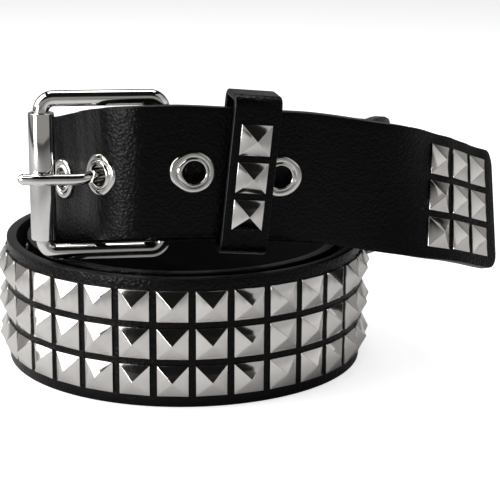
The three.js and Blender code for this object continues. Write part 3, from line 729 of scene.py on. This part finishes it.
# Keeper: a leather loop round both layers, closed behind, with three studs
frontClearance = fitGap + eyelets["front"] + slideGap
backDepth = plyPitch + strap["thickness"] + 2 * slideGap
loopHeight = strap["width"] + 2 * (keeper["endGap"] + keeper["thickness"])
loopDepth = frontClearance + backDepth + 2 * keeper["thickness"]
keeperAlong = alongAt(keeper["turn"])
keeperFront = strap["thickness"] + frontClearance + keeper["thickness"]
keeperCentre = onStrap(keeperAlong, middle, keeperFront - loopDepth / 2)
keeperForward, keeperOut, keeperUp = frameAt(keeperAlong)[1:]
leanTurn = Matrix.Rotation(math.radians(keeper["lean"]), 3, keeperOut)
keeperBack, keeperUp = leanTurn @ -keeperForward, leanTurn @ keeperUp


def onKeeper(out, up, back):
    return keeperCentre + keeperOut * out + keeperUp * up + keeperBack * back


def keeperOutline(count):
    # points round the loop's outside, at even steps
    corner, x, y = keeper["corner"], loopDepth / 2, loopHeight / 2
    corners = ((x - corner, y - corner, 0), (corner - x, y - corner, 90),
               (corner - x, corner - y, 180), (x - corner, corner - y, 270))
    cornerSteps = 8
    outline = []
    for cx, cy, start in corners:
        for i in range(cornerSteps + 1):
            angle = math.radians(start + 90 * i / cornerSteps)
            outline.append(Vector((cx + corner * math.cos(angle), cy + corner * math.sin(angle))))
    lengths = [0]
    for a, b in zip(outline, outline[1:] + outline[:1]):
        lengths.append(lengths[-1] + (b - a).length)
    points = []
    for k in range(count):
        want = lengths[-1] * k / count
        i = min(bisect_right(lengths, want) - 1, len(outline) - 1)
        t = (want - lengths[i]) / (lengths[i + 1] - lengths[i])
        points.append(outline[i].lerp(outline[(i + 1) % len(outline)], t))
    return points


def makeKeeper():
    count = 144
    outline = keeperOutline(count)
    clearSelection()
    bpy.ops.mesh.primitive_cylinder_add(vertices=count, radius=1, depth=keeper["width"],
                                        end_fill_type="NOTHING")
    loop = named("keeperLoop")
    for vertex in loop.data.vertices:
        k = round(math.atan2(vertex.co.y, vertex.co.x) / (2 * math.pi) * count) % count
        vertex.co = (*outline[k], vertex.co.z)
    applyModifier(loop, "SOLIDIFY", thickness=keeper["thickness"], offset=-1)
    applyModifier(loop, "BEVEL", width=keeper["edgeRound"], segments=3, limit_method="ANGLE",
                  angle_limit=math.radians(50))
    for material in (grainLeather, edgePaint):
        loop.data.materials.append(material)
    for face in loop.data.polygons:
        face.material_index = 1 if abs(face.normal.z) > 0.4 else 0
    for vertex in loop.data.vertices:
        vertex.co = onKeeper(*vertex.co)
    editMesh(loop)
    bpy.ops.mesh.normals_make_consistent(inside=False)
    closeEdit()
    smooth(loop, 40)
    return finished(loop, None, "keeper_leather", "keeper_loop")


makeKeeper()
for row, across in enumerate(rowCentres):
    up = across - middle
    keeperStud = copied(studPattern, lambda co: onKeeper(loopDepth / 2 + co.z, up + co.y, -co.x))
    keeperStud.name = "keeperStud" + str(row + 1)
    finished(keeperStud, studChrome, "stud_chrome", "keeper_stud_" + str(row + 1))
for pattern in (studPattern, eyeletPattern, rivetPattern):
    bpy.data.objects.remove(pattern)
print("keeper made")

# Floor, lights and camera; lengths here are in metres
studio = {"floor": 0.8, "floorShadedFar": 0.45, "nearby": 4.0, "floorSize": 6, "floorGap": 0.0002,
          "floorGlow": 0.72, "horizon": 0.3, "ceiling": 0.008, "aimHeight": 0.045}


def makeFloor():
    clearSelection()
    bpy.ops.mesh.primitive_plane_add(size=studio["floorSize"], location=(0, 0, -studio["floorGap"]))
    floor = named("floorSheet")
    tree = Tree("pale floor")
    # pale to the eye; in what chrome and leather reflect, painted shade darkens the floor away from the
    # belt
    seen = tree.node("ShaderNodeLightPath", output="Is Camera Ray")
    spot = tree.node("ShaderNodeTexCoord", output="Object")
    drawn = tree.node("ShaderNodeVectorMath", {"operation": "SCALE"}, {0: spot, 3: studio["nearby"]})
    reach = tree.node("ShaderNodeTexGradient", {"gradient_type": "SPHERICAL"}, {"Vector": drawn}, output=1)
    pale, far = [studio["floor"]] * 3, [studio["floorShadedFar"]] * 3
    # painted shade: the floor's colour in reflections darkens with distance from the belt
    shadedFloorTone = tree.node("ShaderNodeValToRGB", {"stops": [(0.0, far), (0.35, pale)]}, {"Fac": reach})
    # the inputs 6 and 7 and the output 2 of a colour mix
    tone = tree.node("ShaderNodeMix", {"data_type": "RGBA"}, {0: seen, 6: shadedFloorTone, 7: pale + [1]}, output=2)
    paint = tree.node("ShaderNodeBsdfPrincipled", {}, {"Base Color": tone, "Roughness": 0.9})
    glow = tree.node("ShaderNodeEmission", {},
                     {"Color": (1, 1, 1, 1), "Strength": seen * studio["floorGlow"]})
    both = tree.node("ShaderNodeAddShader", {}, {0: paint, 1: glow})
    tree.node("ShaderNodeOutputMaterial", {}, {"Surface": both})
    floor.data.materials.append(tree.owner)


def makeWorld():
    # white to the eye, with a bright horizon and a dark ceiling in reflections
    tree = Tree("studio", world=True)
    view = tree.node("ShaderNodeTexCoord", output="Generated")
    height = tree.node("ShaderNodeSeparateXYZ", {}, {0: view}, output="Z")
    low, high = [studio["horizon"] * c for c in (1, 0.98, 0.95)], [studio["ceiling"]] * 3
    band = tree.node("ShaderNodeValToRGB", {"stops": [(0.28, low), (0.5, high)]}, {"Fac": height})
    room = tree.node("ShaderNodeBackground", {}, {"Color": band, "Strength": 1.0})
    white = tree.node("ShaderNodeBackground", {}, {"Color": (1, 1, 1, 1), "Strength": 1.0})
    seen = tree.node("ShaderNodeLightPath", output="Is Camera Ray")
    mixed = tree.node("ShaderNodeMixShader", {}, {0: seen, 1: room, 2: white})
    tree.node("ShaderNodeOutputWorld", {}, {"Surface": mixed})
    bpy.context.scene.world = tree.owner


def softbox(name, azimuth, elevation, distance, size, power):
    # azimuth from the front towards the right, aimed at the belt's middle
    light = bpy.data.lights.new(name, "AREA")
    light.shape = "RECTANGLE"
    light.size, light.size_y = size
    light.energy = power
    lamp = bpy.data.objects.new(name, light)
    bpy.context.collection.objects.link(lamp)
    angle, rise = math.radians(azimuth), math.radians(elevation)
    aim = Vector((math.sin(angle) * math.cos(rise), -math.cos(angle) * math.cos(rise), math.sin(rise)))
    target = Vector((axisAt.x, axisAt.y, studio["aimHeight"]))
    lamp.location = target + aim * distance
    lamp.rotation_euler = aim.to_track_quat("Z", "Y").to_euler()


makeFloor()
makeWorld()
softbox("left softbox", -84, 36, 0.9, (0.95, 0.85), 6.5)
softbox("right softbox", 76, 34, 1.0, (1.0, 0.8), 1.1)
softbox("top softbox", 180, 72, 1.1, (0.8, 0.6), 5)
softbox("low softbox", -50, 3, 0.8, (0.3, 0.28), 3.4)

camera = bpy.data.objects.new("camera", bpy.data.cameras.new("camera"))
bpy.context.collection.objects.link(camera)
# place in millimetres about the coil's axis, focal length in pixels of a picture this wide
viewpoint = {"at": (0, -476.1, 152.8), "right": (0.9991, -0.0424, 0.0061), "up": (0.0045, 0.2458, 0.9693),
             "ahead": (0.0426, 0.9684, -0.2458), "focal": 1543, "pictureWidth": 500, "sensor": 36}
camera.location = inFrame(Vector(viewpoint["at"]))
turned = Matrix((viewpoint["right"], viewpoint["up"], -Vector(viewpoint["ahead"]))).transposed()
camera.rotation_euler = turned.to_euler()
camera.data.sensor_width = viewpoint["sensor"]
camera.data.lens = viewpoint["focal"] * viewpoint["sensor"] / viewpoint["pictureWidth"]
camera.data.clip_start = 0.01
bpy.context.scene.camera = camera
bpy.context.scene.view_settings.view_transform = "Standard"
print("studio made")
